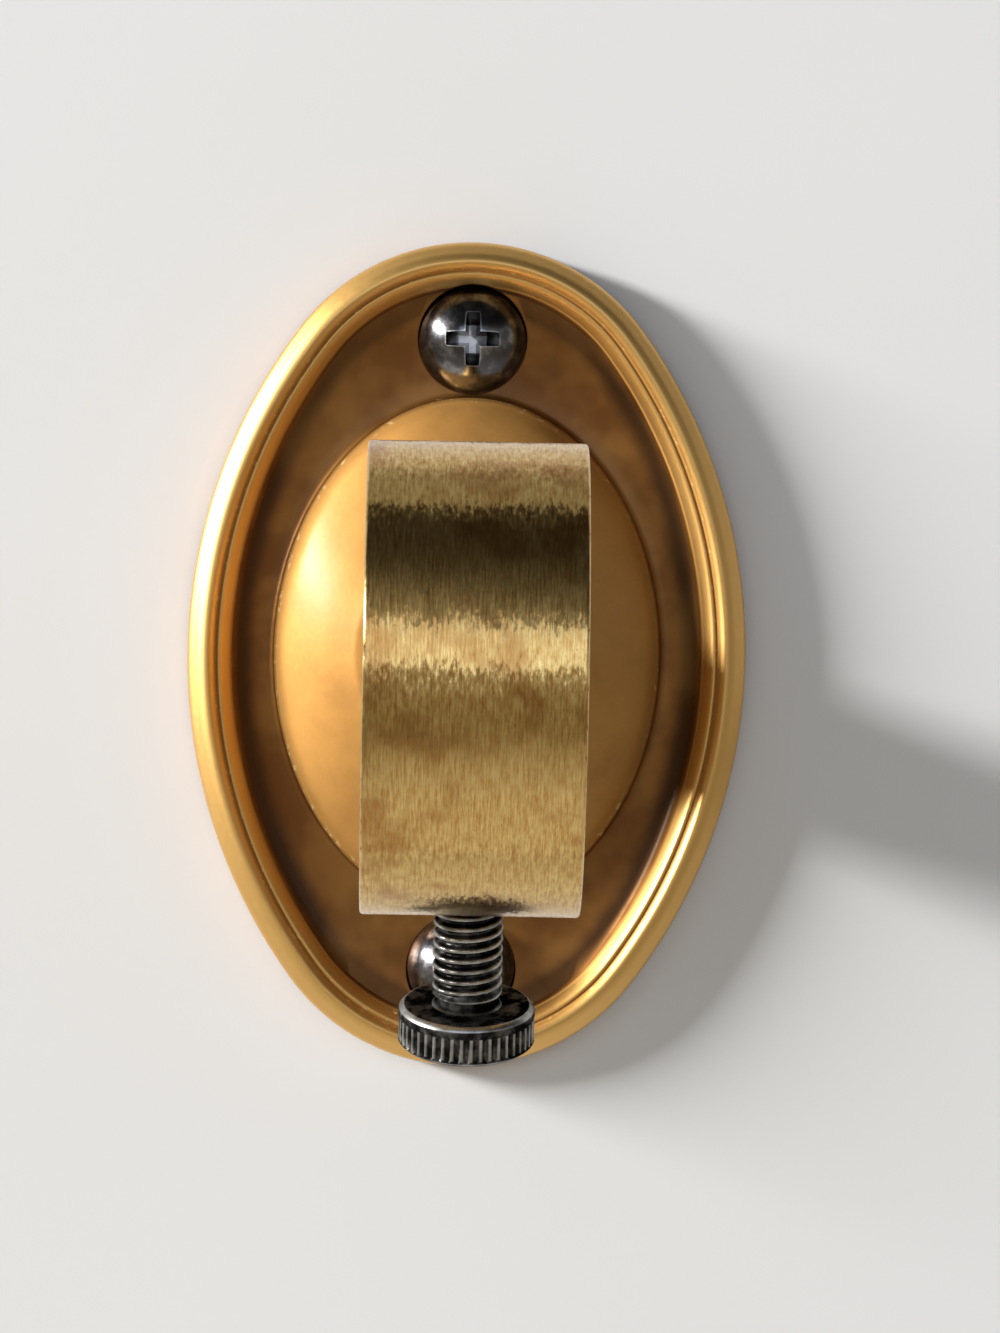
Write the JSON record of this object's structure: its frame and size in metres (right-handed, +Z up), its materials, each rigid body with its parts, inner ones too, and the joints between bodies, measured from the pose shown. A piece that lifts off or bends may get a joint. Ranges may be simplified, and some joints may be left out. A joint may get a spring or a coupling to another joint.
{
  "type": "curtain pole bracket",
  "caption": "Wall bracket with an oval moulded plate, a round arm and a clamp ring whose thumb screw grips a curtain pole.",
  "frame": {"origin": "centre of the oval wall plate's flat back", "axes": "the wall is the plane Y = 0, the bracket reaches out along -Y, +Z is up, and the pole runs along X through the ring"},
  "size_m": [0.045, 0.133, 0.0664],
  "materials": {
    "cast_brass": "antiqued cast brass, dark in the recess and rubbed bright on the rim",
    "turned_brass": "antiqued turned brass, satin",
    "brushed_brass": "satin, brushed round the ring",
    "blackened_steel": "blackened, semi-gloss, bright where the edges rub",
    "gunmetal_steel": "dark polished gunmetal",
    "zinc_steel": "zinc plated"
  },
  "bodies": {
    "bracket": {"wall_plate": "cast_brass", "arm": "turned_brass", "clamp_ring": "brushed_brass", "wall_screw_top": "gunmetal_steel", "wall_screw_bottom": "gunmetal_steel", "arm_screw": "zinc_steel", "arm_washer": "zinc_steel", "ring_screw": "blackened_steel"},
    "thumb": {"thumb_screw": "blackened_steel"}
  },
  "joints": [
    {"name": "thumb_screw_travel", "type": "slide", "parent": "bracket", "child": "thumb", "axis": [0, -0.309, 0.9511], "range_m": [-0.001, 0.0075]}
  ]
}
